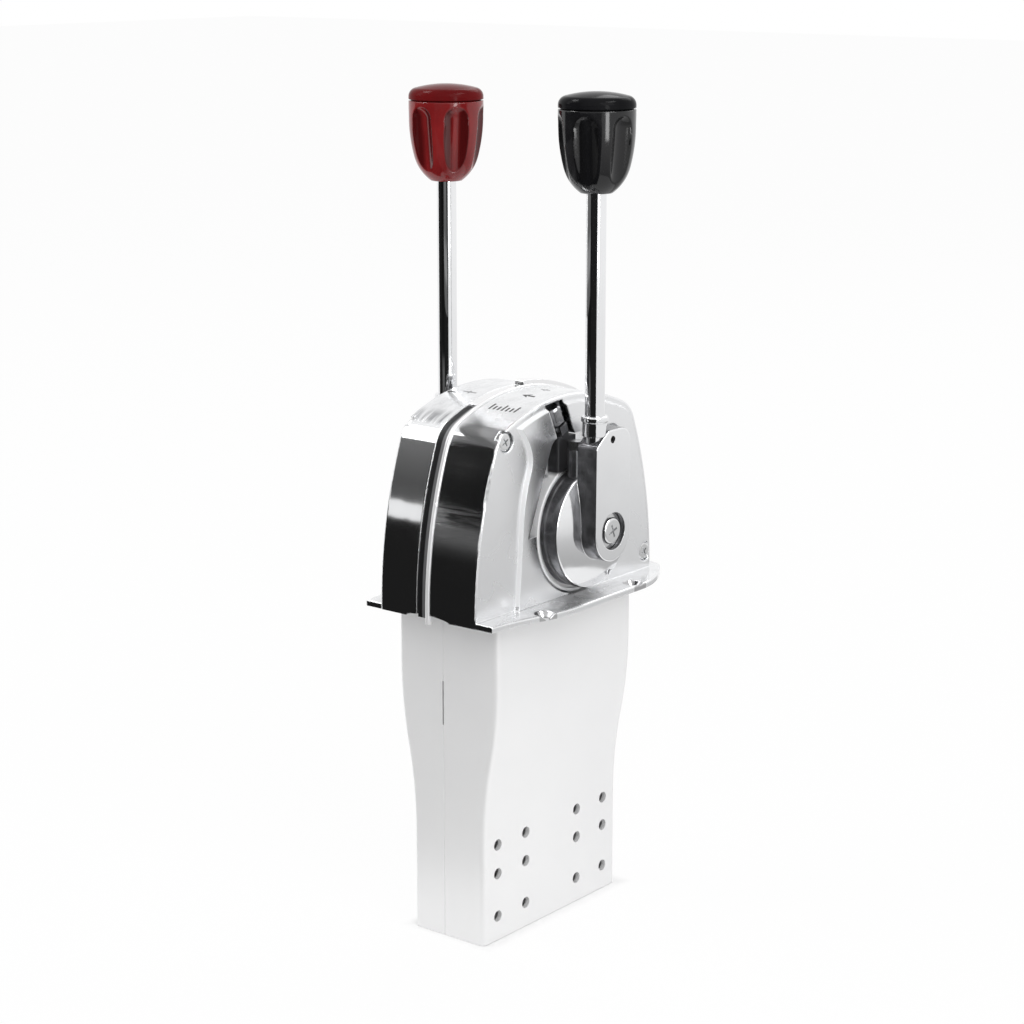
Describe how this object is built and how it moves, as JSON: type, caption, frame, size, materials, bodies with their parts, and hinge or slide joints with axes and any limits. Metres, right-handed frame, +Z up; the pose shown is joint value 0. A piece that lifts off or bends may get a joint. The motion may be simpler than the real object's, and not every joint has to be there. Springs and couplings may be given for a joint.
{
  "type": "boat throttle control lever",
  "caption": "Twin-lever boat engine control for top mounting: chromed arched housing on a deck flange, fluted red and black lever knobs, tapered case below deck for the control cables",
  "frame": {"origin": "centre of the four deck bolt holes, on the flange's underside", "axes": "+X to the side with the black knob's lever (shift), +Y aft, +Z up out of the deck"},
  "size_m": [0.1324, 0.1533, 0.4269],
  "materials": {
    "chrome_cover": "bright chrome plate, brushed fore-and-aft lines on the end bands",
    "chrome_arm": "bright polished chrome plate",
    "chrome_rod": "bright polished chrome plate",
    "chrome_trim": "bright polished chrome strip",
    "satin_case": "satin silver, fine bead-blasted and clear anodised",
    "polished_steel": "turned and polished stainless steel",
    "shaft_steel": "ground stainless steel",
    "stainless_fastener": "stainless steel, machined",
    "black_screw": "black oxide",
    "spring_steel": "blued spring steel",
    "zinc_plate": "zinc-plated steel plate",
    "dark_core": "dark coated core plate",
    "bronze": "sintered bronze bush",
    "brass": "machined brass",
    "black_nylon": "nylon friction shoe",
    "knob_black": "high-gloss moulded black",
    "knob_red": "high-gloss moulded deep red"
  },
  "bodies": {
    "housing": {"centre_plate": "dark_core", "seam_bead": "chrome_trim", "crest_strip": "chrome_trim", "cover_screws": "stainless_fastener", "case_screws": "stainless_fastener", "detent_spring": "spring_steel", "detent_screw": "stainless_fastener", "right_cover": "chrome_cover", "right_case": "satin_case", "right_friction_ring": "polished_steel", "right_ring_screws": "stainless_fastener", "right_friction_shoe": "black_nylon", "right_adjuster_screw": "stainless_fastener", "right_jam_nut": "stainless_fastener", "right_shaft_bush": "bronze", "left_cover": "chrome_cover", "left_case": "satin_case", "left_friction_ring": "polished_steel", "left_ring_screws": "stainless_fastener", "left_friction_shoe": "black_nylon", "left_adjuster_screw": "stainless_fastener", "left_jam_nut": "stainless_fastener", "left_shaft_bush": "bronze"},
    "right_lever": {"right_lever_shaft": "shaft_steel", "right_shaft_clip": "spring_steel", "right_crank_arm": "zinc_plate", "right_lever_arm": "chrome_arm", "right_pivot_screw": "stainless_fastener", "right_pivot_washer": "stainless_fastener", "right_hub_lock_screw": "stainless_fastener", "right_rod_collar": "chrome_rod", "right_rod_screw": "black_screw", "right_lever_rod": "chrome_rod", "right_knob_insert": "brass", "right_knob_body": "knob_black", "right_knob_cap": "knob_black", "detent_sector": "zinc_plate"},
    "right_swivel": {"right_cable_swivel": "brass", "right_swivel_clip": "spring_steel"},
    "left_lever": {"left_lever_shaft": "shaft_steel", "left_shaft_clip": "spring_steel", "left_crank_arm": "zinc_plate", "left_lever_arm": "chrome_arm", "left_pivot_screw": "stainless_fastener", "left_pivot_washer": "stainless_fastener", "left_hub_lock_screw": "stainless_fastener", "left_rod_collar": "chrome_rod", "left_rod_screw": "black_screw", "left_lever_rod": "chrome_rod", "left_knob_insert": "brass", "left_knob_body": "knob_red", "left_knob_cap": "knob_red"},
    "left_swivel": {"left_cable_swivel": "brass", "left_swivel_clip": "spring_steel"}
  },
  "joints": [
    {"name": "right_lever_pivot", "type": "hinge", "parent": "housing", "child": "right_lever", "pos_m": [0.044, 0.0075, 0.0375], "axis": [1, 0, 0], "range_deg": [-40, 40], "deforming": ["detent_spring"]},
    {"name": "right_cable_swivel_pivot", "type": "hinge", "parent": "right_lever", "child": "right_swivel", "pos_m": [0.0171, 0.0075, -0.0105], "axis": [1, 0, 0], "range_deg": [-50, 50]},
    {"name": "left_lever_pivot", "type": "hinge", "parent": "housing", "child": "left_lever", "pos_m": [-0.044, 0.0075, 0.0375], "axis": [1, 0, 0], "range_deg": [-40, 40]},
    {"name": "left_cable_swivel_pivot", "type": "hinge", "parent": "left_lever", "child": "left_swivel", "pos_m": [-0.0171, 0.0075, -0.0105], "axis": [1, 0, 0], "range_deg": [-50, 50]}
  ]
}
